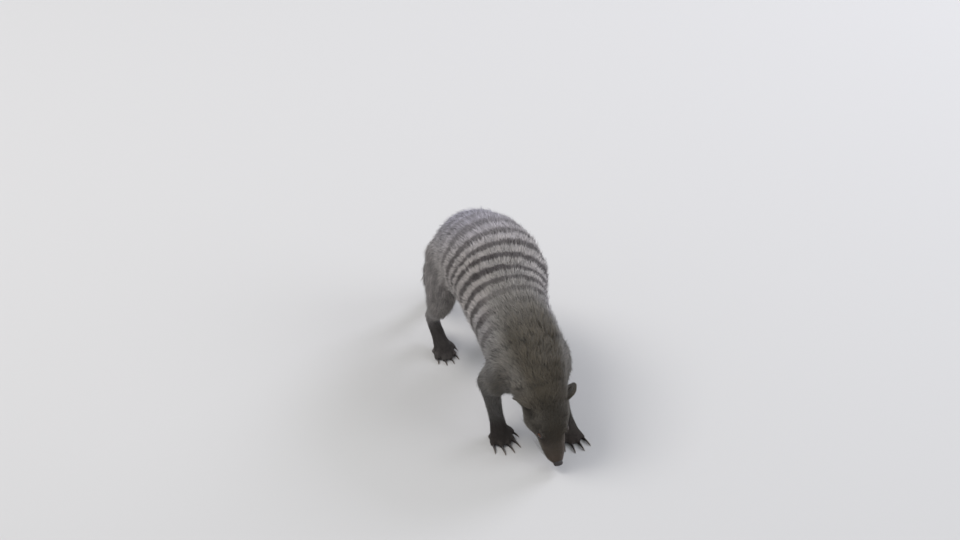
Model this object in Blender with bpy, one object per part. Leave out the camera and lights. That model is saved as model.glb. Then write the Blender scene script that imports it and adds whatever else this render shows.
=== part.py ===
"""A banded mongoose at life size, head down and nose to the ground, as a still model.

The animal is modelled whole, out to the tips of its coat, from overlapping tapered tubes that are
melted into one surface. Thin cuts then part it into the pieces a person would name. Ears, eyes,
nose and claws are added to it. Units are metres; the animal faces -Y, its left is +X, +Z is up.
"""

from math import cos, pi, radians, sin

import bmesh
import bpy
from mathutils import Matrix, Vector

MM = 0.001

# Driving sizes of an adult, in millimetres.
HEAD_LENGTH = 78        # back of the skull to the tip of the nose
HIP_HEIGHT = 102
SHOULDER_HEIGHT = 82
HIP_TO_SHOULDER = 162   # along the ground, with the back arched
TAIL_RADIUS = 14.5      # at the root, coat and all

HEAD_PITCH = radians(57)  # the head points this far below the horizon
EYE_RADIUS = 4.6
EYE_ALONG, EYE_OUT, EYE_ABOVE = 40.5, 11.8, 4.6   # of its middle, in the head

HIP_MIDDLE = 3          # the bow of the spine carries the hips to the left
SHOULDER_MIDDLE = -3    # and the shoulders to the right
# Name, side and how far each foot is set ahead of its plain stance.
LEGS = (("fore_left", 1, 20), ("fore_right", -1, -3), ("hind_left", 1, 10), ("hind_right", -1, -10))

CUT = 0.3               # width of every cut, and of the gap round each added piece
GRAIN = 2.0             # cell size at which the tubes are melted together
COAT_TRIANGLES = 3100   # what the melted surface is thinned to


def at(forward, side, height):
    """A point from millimetres ahead of the hips, towards the animal's left, and up."""
    return Vector((side, -forward, height)) * MM


FORWARD = at(1, 0, 0).normalized()
LEFT = at(0, 1, 0).normalized()
UP = Vector((0, 0, 1))

NOSE_TIP = at(241, -2, 6)
HEAD_AXIS = FORWARD * cos(HEAD_PITCH) - UP * sin(HEAD_PITCH)   # from the skull to the nose
HEAD_TOP = FORWARD * sin(HEAD_PITCH) + UP * cos(HEAD_PITCH)    # out of the crown
SKULL_BACK = NOSE_TIP - HEAD_AXIS * HEAD_LENGTH * MM


def in_head(along, side, above):
    """A point in the head: millimetres from the back of the skull, to the left, and crownward."""
    return SKULL_BACK + (HEAD_AXIS * along + LEFT * side + HEAD_TOP * above) * MM


# ---------------------------------------------------------------- materials

def finish(name, colour, roughness):
    """A plain Principled material."""
    material = bpy.data.materials.new(name)
    material.use_nodes = True
    shader = material.node_tree.nodes["Principled BSDF"]
    shader.inputs["Base Color"].default_value = (*colour, 1)
    shader.inputs["Roughness"].default_value = roughness
    shader.inputs["Metallic"].default_value = 0
    return material


# ---------------------------------------------------------------- tubes

def eased(before, start, end, after, t):
    """The Catmull-Rom value a share t of the way from start to end."""
    return (
        start * 2
        + (end - before) * t
        + (before * 2 - start * 5 + end * 4 - after) * t ** 2
        + (start * 3 - before - end * 3 + after) * t ** 3
    ) * 0.5


def smooth_run(stations, steps):
    """Stations (centre, half width, half depth) with `steps` eased ones for each span."""
    values = [Vector((*centre, width * MM, depth * MM)) for centre, width, depth in stations]
    padded = [values[0], *values, values[-1]]
    run = []
    for i in range(len(values) - 1):
        run += [eased(*padded[i:i + 4], step / steps) for step in range(steps)]
    return [(value.xyz, value[3], value[4]) for value in [*run, values[-1]]]


def add_tube(bm, stations, steps=5, sides=20, rounding=(30, 60, 80)):
    """A closed tube of elliptic rings; its width lies as near to LEFT as it can.

    `rounding` gives the angles, in degrees, of the rings that round off each end.
    """
    run = smooth_run(stations, steps)
    centres = [centre for centre, _, _ in run]
    ahead = [(b - a).normalized() for a, b in zip(centres, centres[1:])]
    ahead = [ahead[0], *((a + b).normalized() for a, b in zip(ahead, ahead[1:])), ahead[-1]]
    for end, direction in ((0, -1), (-1, 1)):
        centre, width, depth = run[end]
        caps = []
        for angle in map(radians, rounding):
            bulge = direction * min(width, depth) * sin(angle)
            caps.append((centre + ahead[end] * bulge, width * cos(angle), depth * cos(angle)))
        if end == 0:
            run = caps[::-1] + run
            ahead = [ahead[0]] * len(caps) + ahead
        else:
            run = run + caps
            ahead = ahead + [ahead[-1]] * len(caps)
    rings = []
    across = LEFT
    for (centre, width, depth), along in zip(run, ahead):
        across = (across - along * across.dot(along)).normalized()
        over = along.cross(across)
        turns = [2 * pi * k / sides for k in range(sides)]
        rings.append([
            bm.verts.new(centre + across * width * cos(t) + over * depth * sin(t)) for t in turns
        ])
    for ring, following in zip(rings, rings[1:]):
        for k in range(sides):
            n = (k + 1) % sides
            bm.faces.new((ring[k], ring[n], following[n], following[k]))
    bm.faces.new(rings[0][::-1])
    bm.faces.new(rings[-1])


def add_ball(bm, centre, radii, turn, sides=16):
    """An ellipsoid, such as a rounded muscle; radii in millimetres along its own axes."""
    shape = Matrix.Translation(centre) @ turn @ Matrix.Diagonal((*(r * MM for r in radii), 1))
    bmesh.ops.create_uvsphere(bm, u_segments=sides, v_segments=sides // 2, radius=1, matrix=shape)


def new_object(name, bm, material=None):
    """Puts a finished mesh in the scene."""
    mesh = bpy.data.meshes.new(name)
    bmesh.ops.recalc_face_normals(bm, faces=bm.faces)
    bm.to_mesh(mesh)
    bm.free()
    made = bpy.data.objects.new(name, mesh)
    bpy.context.scene.collection.objects.link(made)
    if material:
        mesh.materials.append(material)
    return made


# ---------------------------------------------------------------- the body's masses

HEAD_TURN = Matrix((LEFT, -HEAD_AXIS, HEAD_TOP)).transposed().to_4x4()


def trunk_masses(bm):
    """Rump, loin, ribs and neck as one run, arched over the loin and bowed a little sideways."""
    add_tube(bm, [
        (at(-29, 1, 101), 24, 24),
        (at(-14, 2, 107), 37, 37),
        (at(4, 4, 112), 44.5, 43),
        (at(32, 6, 119), 48.5, 44),
        (at(65, 6, 118), 49.5, 43.5),
        (at(96, -1, 112.5), 43, 43),
        (at(128, -4, 103), 39.5, 43),
        (at(160, -3, 91), 39, 41),
        (at(184, -3, 79), 32, 33),
        (in_head(2, 0, -1), 27, 27),
    ])


def head_masses(bm):
    """Skull and muzzle in one run, with brows, cheeks and chin."""
    add_tube(bm, [
        (in_head(-6, 0, -2), 25, 25),
        (in_head(8, 0, -1), 25, 23),
        (in_head(22, 0, -1), 24, 21),
        (in_head(34, 0, -2), 20.5, 18),
        (in_head(45, 0, -4), 15, 14),
        (in_head(56, 0, -4.5), 12, 12),
        (in_head(63, 0, -3.5), 10.5, 10.5),
        (in_head(68, 0, -1.5), 8, 8),
    ])
    for side in (-1, 1):
        add_ball(bm, in_head(31, side * 12, 8), (9, 12, 6.5), HEAD_TURN)
        add_ball(bm, in_head(24, side * 15, -8), (10, 15, 11), HEAD_TURN)
        add_ball(bm, in_head(60, side * 5, -4), (6.5, 9, 6.5), HEAD_TURN)
    add_ball(bm, in_head(58, 0, -11), (7, 11, 5), HEAD_TURN)


def tail_run():
    """Stations of the tail, which hangs behind the thighs and comes round on the ground."""
    return [
        (at(-28, 2, 103), TAIL_RADIUS + 5, TAIL_RADIUS + 5),
        (at(-46, -3, 95), TAIL_RADIUS, TAIL_RADIUS),
        (at(-55, -11, 77), 12.5, 12.5),
        (at(-57, -18, 54), 11.5, 11.5),
        (at(-60, -17, 33), 10.5, 10.5),
        (at(-72, -5, 14.5), 9.5, 9.5),
        (at(-88, 18, 8.6), 8.8, 8.8),
        (at(-100, 46, 7.4), 8, 8),
        (at(-103, 76, 6), 6.5, 6.5),
        (at(-95, 104, 4), 4, 4),
    ]


def hind_leg_masses(bm, side, step):
    """Haunch, shank and long foot of one side; step moves the foot ahead."""
    hip = at(2, HIP_MIDDLE + side * 27, HIP_HEIGHT)
    knee = at(28 + step * 0.3, HIP_MIDDLE + side * 44, 78)
    heel = at(-6 + step, HIP_MIDDLE + side * 39, 25)
    ball = at(24 + step, HIP_MIDDLE + side * 39, 5.2)
    add_tube(bm, [
        (hip + at(-9, 0, 8), 19, 27),
        (hip + at(6, side * 4, -8), 21, 34),
        (hip.lerp(knee, 0.68), 18, 30),
        (knee, 13, 19),
        (knee.lerp(heel, 0.4), 10.5, 15),
        (knee.lerp(heel, 0.75), 8.5, 10),
        (heel, 7.5, 8.5),
        (heel.lerp(ball, 0.5), 7.5, 7),
        (ball, 9, 6.5),
    ])


def foreleg_masses(bm, side, step):
    """Shoulder, upper arm, forearm and wrist of one side; step moves the paw ahead."""
    lane = SHOULDER_MIDDLE + side * 32
    shoulder = at(HIP_TO_SHOULDER + 4, SHOULDER_MIDDLE + side * 27, SHOULDER_HEIGHT)
    elbow = at(HIP_TO_SHOULDER - 18 + step * 0.4, SHOULDER_MIDDLE + side * 34, 53)
    wrist = at(HIP_TO_SHOULDER - 2 + step, lane, 19)
    palm = at(HIP_TO_SHOULDER + 10 + step, lane + side, 6.4)
    add_tube(bm, [
        (shoulder + at(-14, side * -4, 26), 9, 16),
        (shoulder + at(-5, 0, 8), 14, 25),
        (shoulder.lerp(elbow, 0.5), 14, 20),
        (elbow, 11, 14),
        (elbow.lerp(wrist, 0.5), 9.5, 11),
        (wrist, 8, 8.5),
        (palm, 10, 7.5),
    ])


class Foot:
    """Where a foot's toes and claws go: digit 1 is the short inner one."""

    def __init__(self, side, centre, spread, reach, claw, radius):
        self.side = side
        self.centre = centre    # middle of the toe roots, on the ground
        self.spread = spread    # width of the four main toes
        self.reach = reach      # length of the middle toes
        self.claw = claw        # length of a claw
        self.radius = radius    # of a toe

    def digits(self):
        """(root, direction, length) of each digit."""
        for k in range(4):
            off = (k - 1.5) / 1.5                       # -1 inner ... 1 outer
            heading = FORWARD + LEFT * self.side * off * 0.24
            root = self.centre + LEFT * self.side * off * (self.spread / 2 - self.radius) * MM
            root += FORWARD * -abs(off) * 3 * MM + UP * (self.radius - 1.4) * MM
            yield root, heading.normalized(), self.reach - 3.5 * abs(off) ** 2
        inner = self.centre - LEFT * self.side * (self.spread / 2 - 1) * MM
        inner += FORWARD * -12 * MM + UP * self.radius * MM
        yield inner, (FORWARD - LEFT * self.side * 0.45).normalized(), self.reach * 0.5


def toe_masses(bm, foot):
    """Each toe as a short arched tube with a plump end."""
    for root, heading, length in foot.digits():
        tip = root + heading * length * MM
        add_tube(bm, [
            (root - heading * 5 * MM, foot.radius, foot.radius),
            (root.lerp(tip, 0.5) + UP * 1.4 * MM, foot.radius, foot.radius),
            (tip, foot.radius * 0.88, foot.radius * 0.8),
        ], steps=3, sides=12)


def feet():
    """The four feet by name."""
    made = {}
    for name, side, step in LEGS:
        if name.startswith("fore"):
            lane = SHOULDER_MIDDLE + side * 33
            made[name] = Foot(side, at(HIP_TO_SHOULDER + 16 + step, lane, 0), 25, 9, 13, 3.5)
        else:
            lane = HIP_MIDDLE + side * 39.5
            made[name] = Foot(side, at(31 + step, lane, 0), 22, 9, 8, 3.3)
    return made


# ---------------------------------------------------------------- melting and thinning

def only(obj):
    """Makes obj the one selected and active object."""
    for other in bpy.context.selected_objects:
        other.select_set(False)
    obj.select_set(True)
    bpy.context.view_layer.objects.active = obj


def apply_all(obj):
    """Applies the object's modifiers in order."""
    only(obj)
    for modifier in list(obj.modifiers):
        bpy.ops.object.modifier_apply(modifier=modifier.name)


def weigh(obj, group_name, weight):
    """A vertex group with weight(place) at each vertex."""
    group = obj.vertex_groups.new(name=group_name)
    for vertex in obj.data.vertices:
        group.add([vertex.index], weight(vertex.co), "REPLACE")
    return group.name


def ramp(value, low, high):
    """0 at low, 1 at high, straight in between."""
    return max(0.0, min(1.0, (value - low) / (high - low)))


def melted(obj):
    """One even surface round all the masses, with soft creases, thinned to fewer triangles."""
    cells = obj.modifiers.new("melt", "REMESH")
    cells.mode = "VOXEL"
    cells.voxel_size = GRAIN * MM
    apply_all(obj)

    def away_from_detail(place):
        from_nose = (place - NOSE_TIP).length / MM
        return min(ramp(place.z / MM, 14, 34), ramp(from_nose, 25, 70))

    for times, group in ((3, ""), (10, weigh(obj, "bulk", away_from_detail))):
        soften = obj.modifiers.new("soften", "SMOOTH")
        soften.factor = 0.5
        soften.iterations = times
        soften.vertex_group = group
        apply_all(obj)
    thin = obj.modifiers.new("thin", "DECIMATE")
    thin.ratio = COAT_TRIANGLES / (2 * len(obj.data.polygons))
    thin.use_collapse_triangulate = True
    apply_all(obj)
    obj.vertex_groups.clear()
    return obj


def whole_animal():
    """Body, head, tail and legs as one closed surface, flat where it meets the ground."""
    bm = bmesh.new()
    trunk_masses(bm)
    head_masses(bm)
    add_tube(bm, tail_run(), sides=16)
    for name, side, step in LEGS:
        (foreleg_masses if name.startswith("fore") else hind_leg_masses)(bm, side, step)
    for foot in feet().values():
        toe_masses(bm, foot)
    whole = melted(new_object("whole", bm))
    keep_side(whole, Vector(), UP, 0)
    return whole


# ---------------------------------------------------------------- cutting

def keep_side(obj, point, normal, gap):
    """Keeps what lies beyond the plane, half a gap clear of it, and closes the cut."""
    bm = bmesh.new()
    bm.from_mesh(obj.data)
    bmesh.ops.bisect_plane(
        bm,
        geom=[*bm.verts, *bm.edges, *bm.faces],
        dist=1e-7,
        plane_co=point + normal * gap / 2 * MM,
        plane_no=normal,
        clear_inner=True,
    )
    rim = [edge for edge in bm.edges if edge.is_boundary]
    bmesh.ops.holes_fill(bm, edges=rim, sides=0)
    bmesh.ops.triangulate(bm, faces=[face for face in bm.faces if len(face.verts) > 4])
    bmesh.ops.recalc_face_normals(bm, faces=bm.faces)
    bm.to_mesh(obj.data)
    bm.free()
    return obj


def copy_of(obj, name):
    """A second object with its own mesh."""
    made = obj.copy()
    made.data = obj.data.copy()
    made.name = name
    bpy.context.scene.collection.objects.link(made)
    return made


def part_at(obj, point, normal, name):
    """Cuts obj across; what lies beyond the plane becomes a new object of that name."""
    beyond = copy_of(obj, name)
    keep_side(beyond, point, normal, CUT)
    keep_side(obj, point, -normal, CUT)
    return beyond


def boolean(obj, other, operation):
    """Applies one exact Boolean and discards the other object."""
    joint = obj.modifiers.new("boolean", "BOOLEAN")
    joint.operation = operation
    joint.solver = "EXACT"
    joint.object = other
    apply_all(obj)
    bpy.data.objects.remove(other)
    return obj


def grown(obj, by=CUT):
    """A copy whose surface stands `by` millimetres proud all round."""
    made = copy_of(obj, obj.name + "_grown")
    swell = made.modifiers.new("swell", "DISPLACE")
    swell.mid_level = 0
    swell.strength = by * MM
    apply_all(made)
    return made


def clear_of(obj, neighbour):
    """Cuts obj back so that it keeps a gap to its neighbour."""
    return boolean(obj, grown(neighbour), "DIFFERENCE")


def leg_region(side, outline, inner_low, inner_high):
    """The room of one leg: an outline in side view, from a leaning inner wall out past the hip."""
    heights = [height for _, height in outline]
    low, high = min(heights), max(heights)
    outside = 90

    def wall(height):
        return inner_low + (inner_high - inner_low) * (height - low) / (high - low)

    bm = bmesh.new()
    inner = [bm.verts.new(at(f, side * wall(h), h)) for f, h in outline]
    outer = [bm.verts.new(at(f, side * outside, h)) for f, h in outline]
    bm.faces.new(inner)
    bm.faces.new(outer)
    for k in range(len(outline)):
        n = (k + 1) % len(outline)
        bm.faces.new((inner[k], inner[n], outer[n], outer[k]))
    region = new_object("region", bm)
    shell = region.modifiers.new("wall", "SOLIDIFY")
    shell.thickness = CUT * MM
    shell.offset = 0
    shell.use_even_offset = True
    apply_all(region)
    return region


def loose_parts(obj):
    """Splits an object into its separate bodies, the largest first."""
    before = set(bpy.data.objects)
    only(obj)
    bpy.ops.object.mode_set(mode="EDIT")
    bpy.ops.mesh.select_all(action="SELECT")
    bpy.ops.mesh.separate(type="LOOSE")
    bpy.ops.object.mode_set(mode="OBJECT")
    parts = [obj, *(made for made in bpy.data.objects if made not in before)]
    return sorted(parts, key=lambda part: -len(part.data.vertices))


def largest_part(obj):
    """Keeps an object's largest body and drops the crumbs a cut has left."""
    main, *crumbs = loose_parts(obj)
    for crumb in crumbs:
        bpy.data.objects.remove(crumb)
    return main


def take_leg(body, name, region):
    """Frees one leg from the body with a thin-walled box round it."""
    boolean(body, region, "DIFFERENCE")
    rest, leg, *crumbs = loose_parts(body)
    for crumb in crumbs:
        bpy.data.objects.remove(crumb)
    leg.name = name
    return rest, leg


# ---------------------------------------------------------------- added pieces

def claw_tube(bm, root, heading, length):
    """One curved claw, thick at the root and blunt at the tip."""
    reach = heading * length * MM
    radius = 1.7 if length > 10 else 1.4
    add_tube(bm, [
        (root - heading * 2.2 * MM, radius, radius * 1.1),
        (root + reach * 0.35 + UP * 0.4 * MM, radius * 0.85, radius),
        (root + reach * 0.72 - UP * 0.3 * MM, radius * 0.6, radius * 0.72),
        (root + reach - UP * 1.6 * MM, 0.45, 0.5),
    ], steps=1, sides=6, rounding=(55,))


def with_claws(paw, foot):
    """Joins a claw to each toe of the paw."""
    for root, heading, length in foot.digits():
        bm = bmesh.new()
        tip = root + heading * (length + foot.radius * 0.55) * MM
        claw_tube(bm, tip - UP * 0.9 * MM, heading, foot.claw * (0.7 if length < 6 else 1))
        claw = new_object("claw", bm)
        keep_side(claw, Vector((0, 0, 0.05 * MM)), UP, 0)
        boolean(paw, claw, "UNION")
    return paw


def eye(side, material):
    """A round eyeball set in the side of the skull."""
    bm = bmesh.new()
    centre = in_head(EYE_ALONG, side * EYE_OUT, EYE_ABOVE)
    shape = Matrix.Translation(centre) @ Matrix.Scale(EYE_RADIUS * MM, 4)
    bmesh.ops.create_icosphere(bm, subdivisions=2, radius=1, matrix=shape)
    return new_object("eye_left" if side > 0 else "eye_right", bm, material)


def nose_pad(material):
    """The bare pad that ends the muzzle, wider than it is tall."""
    bm = bmesh.new()
    add_ball(bm, in_head(HEAD_LENGTH - 4.5, 0, 0.8), (5.8, 4.8, 4.5), HEAD_TURN, sides=14)
    return keep_side(new_object("nose", bm, material), Vector(), UP, 0)


def ear(side, material):
    """A low, wide, rounded ear swept back along the cheek, hollow in front."""
    name = "ear_left" if side > 0 else "ear_right"
    middle = in_head(7, side * 24.5, 3.5)
    sweep = Matrix.Rotation(side * radians(40), 4, HEAD_TOP)
    lean = Matrix.Rotation(side * radians(-14), 4, HEAD_AXIS)
    turn = lean @ sweep @ HEAD_TURN
    bm = bmesh.new()
    add_ball(bm, middle, (11.5, 3.2, 11.5), turn)
    shell = new_object(name, bm, material)
    bm = bmesh.new()
    add_ball(bm, middle + turn.to_3x3() @ at(4.8, side * 1.5, -1), (9, 4.2, 9), turn)
    return boolean(shell, new_object("hollow", bm), "DIFFERENCE")


# ---------------------------------------------------------------- assembly

FORELEG_ROOM = [(122, -4), (232, -4), (210, 26), (182, 42), (172, 62), (170, 108), (158, 132), (118, 138)]
HIND_LEG_ROOM = [(-41, -4), (90, -4), (66, 62), (54, 120), (34, 150), (-22, 156), (-41, 120)]


def parts_of_leg(leg, name, side, step, coat, dark):
    """Parts a leg at its two lower joints and gives the paw its claws."""
    if name.startswith("fore"):
        upper, lower, paw = "upper_arm", "forearm", "fore_paw"
        elbow = at(HIP_TO_SHOULDER - 17 + step * 0.4, SHOULDER_MIDDLE + side * 34, 54)
        wrist = at(HIP_TO_SHOULDER - 2 + step, SHOULDER_MIDDLE + side * 32, 18)
        first = (elbow, (FORWARD * 0.2 - UP).normalized())
        second = (wrist, (FORWARD * 0.55 - UP).normalized())
    else:
        upper, lower, paw = "thigh", "shank", "hind_paw"
        knee = at(20 + step * 0.3, HIP_MIDDLE + side * 42, 68)
        heel = at(-2 + step, HIP_MIDDLE + side * 39, 28)
        first = (knee, (-FORWARD * 0.5 - UP).normalized())
        second = (heel, (FORWARD * 0.25 - UP).normalized())
    tag = "_left" if side > 0 else "_right"
    leg.name = upper + tag
    shin = part_at(leg, *first, lower + tag)
    foot = part_at(shin, *second, paw + tag)
    with_claws(foot, feet()[name])
    for piece, material in ((leg, coat), (shin, dark), (foot, dark)):
        piece.data.materials.clear()
        piece.data.materials.append(material)
    return [leg, shin, foot]


def build():
    """Models the animal, parts it and adds its ears, eyes, nose and claws."""
    coat = finish("grizzled_coat", (0.19, 0.175, 0.165), 0.85)
    dark = finish("dark_foot_coat", (0.05, 0.042, 0.036), 0.8)
    bare = finish("nose_leather", (0.045, 0.03, 0.028), 0.45)
    glassy = finish("eye", (0.09, 0.035, 0.012), 0.08)

    body = whole_animal()
    pieces = []
    for name, side, step in LEGS:
        if name.startswith("fore"):
            region = leg_region(side, FORELEG_ROOM, 12, 44)
        else:
            region = leg_region(side, HIND_LEG_ROOM, 9, 43)
        body, leg = take_leg(body, name, region)
        pieces += parts_of_leg(leg, name, side, step, coat, dark)

    neck_way = (FORWARD * 0.85 - UP * 0.5).normalized()
    cuts = (
        ("chest", at(100, 0, 112), FORWARD),
        ("neck", at(170, 0, 86), neck_way),
        ("head", in_head(-3, 0, 0), HEAD_AXIS),
    )
    piece = body
    for name, point, normal in cuts:
        beyond = part_at(piece, point, normal, name)
        pieces.append(beyond)
        piece = beyond
    head = piece
    body.name = "loin"
    rump = part_at(body, at(36, 0, 120), -FORWARD, "rump")
    piece = part_at(rump, at(-43, -2, 97), (-FORWARD - UP * 0.7).normalized(), "tail_root")
    pieces += [body, rump, piece]
    for name, point, normal in (
        ("tail_middle", at(-58, -18, 45), -UP),
        ("tail_tip", at(-100, 46, 8), (LEFT - FORWARD * 0.25).normalized()),
    ):
        beyond = part_at(piece, point, normal, name)
        pieces.append(beyond)
        piece = beyond
    for piece in pieces:
        if not piece.data.materials:
            piece.data.materials.append(coat)

    clear_of(head, nose_pad(bare))
    for side in (-1, 1):
        clear_of(head, eye(side, glassy))
    head = largest_part(head)
    for side in (-1, 1):
        flap = ear(side, coat)
        largest_part(clear_of(flap, head)).name = flap.name


def set_on_origin():
    """Moves everything so that the origin is under the middle of the whole, on the ground."""
    made = [obj for obj in bpy.context.scene.objects if obj.type == "MESH"]
    corners = [vertex.co for obj in made for vertex in obj.data.vertices]
    lows = [min(corner[axis] for corner in corners) for axis in range(3)]
    highs = [max(corner[axis] for corner in corners) for axis in range(3)]
    shift = Vector((-(lows[0] + highs[0]) / 2, -(lows[1] + highs[1]) / 2, -lows[2]))
    for obj in made:
        obj.data.transform(Matrix.Translation(shift))
        obj.data.shade_smooth()


for obj in list(bpy.data.objects):
    bpy.data.objects.remove(obj)
build()
set_on_origin()
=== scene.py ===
"""A banded mongoose at life size, head down and nose to the ground: its hide, coat, face and claws."""

from math import cos, pi, radians, sin, sqrt

import bpy
import numpy as np
from mathutils import Matrix, Vector
from mathutils.bvhtree import BVHTree


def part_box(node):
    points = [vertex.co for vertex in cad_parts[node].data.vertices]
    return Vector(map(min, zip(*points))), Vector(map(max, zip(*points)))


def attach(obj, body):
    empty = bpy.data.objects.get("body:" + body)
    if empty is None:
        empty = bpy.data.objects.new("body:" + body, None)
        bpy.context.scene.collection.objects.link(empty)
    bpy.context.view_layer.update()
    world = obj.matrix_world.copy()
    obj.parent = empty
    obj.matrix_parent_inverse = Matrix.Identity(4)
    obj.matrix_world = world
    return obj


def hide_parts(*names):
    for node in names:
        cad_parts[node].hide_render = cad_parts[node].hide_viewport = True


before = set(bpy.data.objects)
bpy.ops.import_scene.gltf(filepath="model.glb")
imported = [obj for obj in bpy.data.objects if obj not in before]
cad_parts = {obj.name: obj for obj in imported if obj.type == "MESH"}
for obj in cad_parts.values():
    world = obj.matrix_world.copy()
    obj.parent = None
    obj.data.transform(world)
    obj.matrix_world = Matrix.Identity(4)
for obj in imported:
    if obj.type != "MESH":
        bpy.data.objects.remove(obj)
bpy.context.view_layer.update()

# ---- the hide
# The skin of the whole animal, one closed surface from muzzle to tail tip. It lies under the coat
# by the coat's depth, so the flesh parts are taken in by that much and melted together. Toes,
# whisker pads, lips and lids are then raised on it.

MM = 0.001
FORWARD = Vector((0, -1, 0))
LEFT = Vector((1, 0, 0))
UP = Vector((0, 0, 1))
RUMP_FRONT = 36.15  # the rump's front face lies this far ahead of the hips
NOSE_SIDE = -2  # the nose lies this far to the left of the hips
HEAD_LENGTH = 78
HEAD_PITCH = radians(57)

nose_low, nose_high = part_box("nose")
HIPS = Vector(((nose_low.x + nose_high.x) / 2 - NOSE_SIDE * MM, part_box("rump")[0].y + RUMP_FRONT * MM, 0))


def at(forward, side, height):
    """A point, in millimetres ahead of the hips, to the animal's left, and up."""
    return HIPS + (FORWARD * forward + LEFT * side + UP * height) * MM


HEAD_AXIS = FORWARD * cos(HEAD_PITCH) - UP * sin(HEAD_PITCH)
HEAD_TOP = FORWARD * sin(HEAD_PITCH) + UP * cos(HEAD_PITCH)
SKULL_BACK = at(241, NOSE_SIDE, 6) - HEAD_AXIS * HEAD_LENGTH * MM


def in_head(along, side, above):
    """A point in the head, in millimetres from the skull's back, to the left, and crownward."""
    return SKULL_BACK + (HEAD_AXIS * along + LEFT * side + HEAD_TOP * above) * MM


HEAD_TURN = Matrix((LEFT, -HEAD_AXIS, HEAD_TOP)).transposed().to_4x4()

# What the coat is like on each part: its depth over the hide and its length, in millimetres, and
# how far it has gone dark brown, as on the feet, or olive brown, as on the shoulders.
COAT = {
    "ear": (0.9, 4.2, 0.15, 1.12),
    "head": (2.6, 6.5, 0.1, 1.02),
    "neck": (6.6, 14, 0.06, 1.16),
    "chest": (7.4, 17, 0.02, 0.62),
    "loin": (7.6, 19, 0, 0.1),
    "rump": (7.6, 21, 0, 0),
    "tail_root": (7, 20, 0.14, 0.25),
    "tail_middle": (6.2, 20, 0.42, 0.25),
    "tail_tip": (3.4, 17, 0.95, 0.1),
    "thigh": (5.4, 15, 0.01, 0.02),
    "shank": (2.6, 8, 0.12, 0.25),
    "hind_paw": (1.1, 4, 0.78, 0.1),
    "upper_arm": (5.2, 12, 0.15, 0.88),
    "forearm": (2.3, 7, 0.3, 0.75),
    "fore_paw": (1.1, 4, 0.84, 0.1),
}
FLESH = sorted(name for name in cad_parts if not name.startswith(("eye", "nose")))


def only(*objects):
    """Selects these objects and nothing else; the first is the active one."""
    bpy.ops.object.select_all(action="DESELECT")
    for obj in objects:
        obj.select_set(True)
    bpy.context.view_layer.objects.active = objects[0]


def linked(name, data):
    """A new object in the scene with this data."""
    made = bpy.data.objects.new(name, data)
    bpy.context.scene.collection.objects.link(made)
    return made


def join(objects, name):
    """Makes several objects one."""
    only(*objects)
    bpy.ops.object.join()
    objects[0].name = objects[0].data.name = name
    return objects[0]


def modified(obj, kind, **settings):
    """Adds one modifier and applies it."""
    only(obj)
    modifier = obj.modifiers.new(kind, kind)
    for key, value in settings.items():
        setattr(modifier, key, value)
    bpy.ops.object.modifier_apply(modifier=modifier.name)
    return obj


def melted(objects, grain, rounds):
    """The hide: closed solids melted into one, as fine as the grain in millimetres, and smoothed."""
    made = join(objects, "hide")
    modified(made, "REMESH", mode="VOXEL", voxel_size=grain * MM)
    return modified(made, "SMOOTH", factor=0.5, iterations=rounds)


def in_edit_mode(obj, operator, **settings):
    """Runs an operator on the whole mesh in edit mode."""
    only(obj)
    bpy.ops.object.mode_set(mode="EDIT")
    bpy.ops.mesh.select_all(action="SELECT")
    operator(**settings)
    bpy.ops.object.mode_set(mode="OBJECT")


def turn_faces_out(obj):
    """Makes every face look out of the solid."""
    in_edit_mode(obj, bpy.ops.mesh.normals_make_consistent, inside=False)


def read(rows, name, width=1, kind=float):
    """A property of all vertices, edges, faces or corners, as a list or rows of a table."""
    values = np.empty(len(rows) * width, kind)
    rows.foreach_get(name, values)
    return values if width == 1 else values.reshape(-1, width)


def places(obj):
    """The vertices as rows of a table."""
    return read(obj.data.vertices, "co", 3)


def set_places(obj, table, lowest=-np.inf):
    """Moves the vertices to these places, none of them lower, in millimetres, than the lowest."""
    table[:, 2] = np.maximum(table[:, 2], lowest * MM)
    obj.data.vertices.foreach_set("co", np.ascontiguousarray(table, float).ravel())
    obj.data.update()


def normals(obj):
    """The direction out of the surface at each vertex."""
    return read(obj.data.vertex_normals, "vector", 3)


def unit(table):
    """Each row at length one."""
    return table / np.maximum(np.linalg.norm(table, axis=-1, keepdims=True), 1e-12)


def ramp(value, low, high):
    """0 up to low and 1 from high on, easing in between."""
    t = np.clip((value - low) / (high - low), 0, 1)
    return t * t * (3 - 2 * t)


def hump(value, wide):
    """1 where the value is nothing, falling away softly on both sides."""
    return np.exp(-(value / wide) ** 2)


def evened(obj, values, times):
    """Shares the vertices' values out among their neighbours, so that no step is left."""
    start, end = read(obj.data.edges, "vertices", 2, np.int32).T
    count = len(obj.data.vertices)
    both, other = np.concatenate((start, end)), np.concatenate((end, start))
    shares = np.maximum(np.bincount(both, minlength=count), 1)
    columns = values.reshape(count, -1).astype(float)
    for _ in range(times):
        summed = [np.bincount(both, column[other], count) for column in columns.T]
        columns = (columns + np.stack(summed, 1) / shares[:, None]) / 2
    return columns.reshape(values.shape)


def sphere(segments, rings):
    """A plain sphere of radius 1."""
    bpy.ops.mesh.primitive_uv_sphere_add(segments=segments, ring_count=rings, radius=1)
    return bpy.context.object


def ball(centre, radii, turn=Matrix(), segments=20):
    """An ellipsoid of flesh; radii in millimetres along its own axes."""
    made = sphere(segments, segments // 2)
    size = Matrix.Diagonal((*(radius * MM for radius in radii), 1))
    made.data.transform(Matrix.Translation(centre) @ turn @ size)
    return made


HIP_SIDE, SHOULDER_SIDE = 3, -3  # the back bows to the left at the hips
TOE_REACH = 9  # a long toe's length from its root
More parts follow.
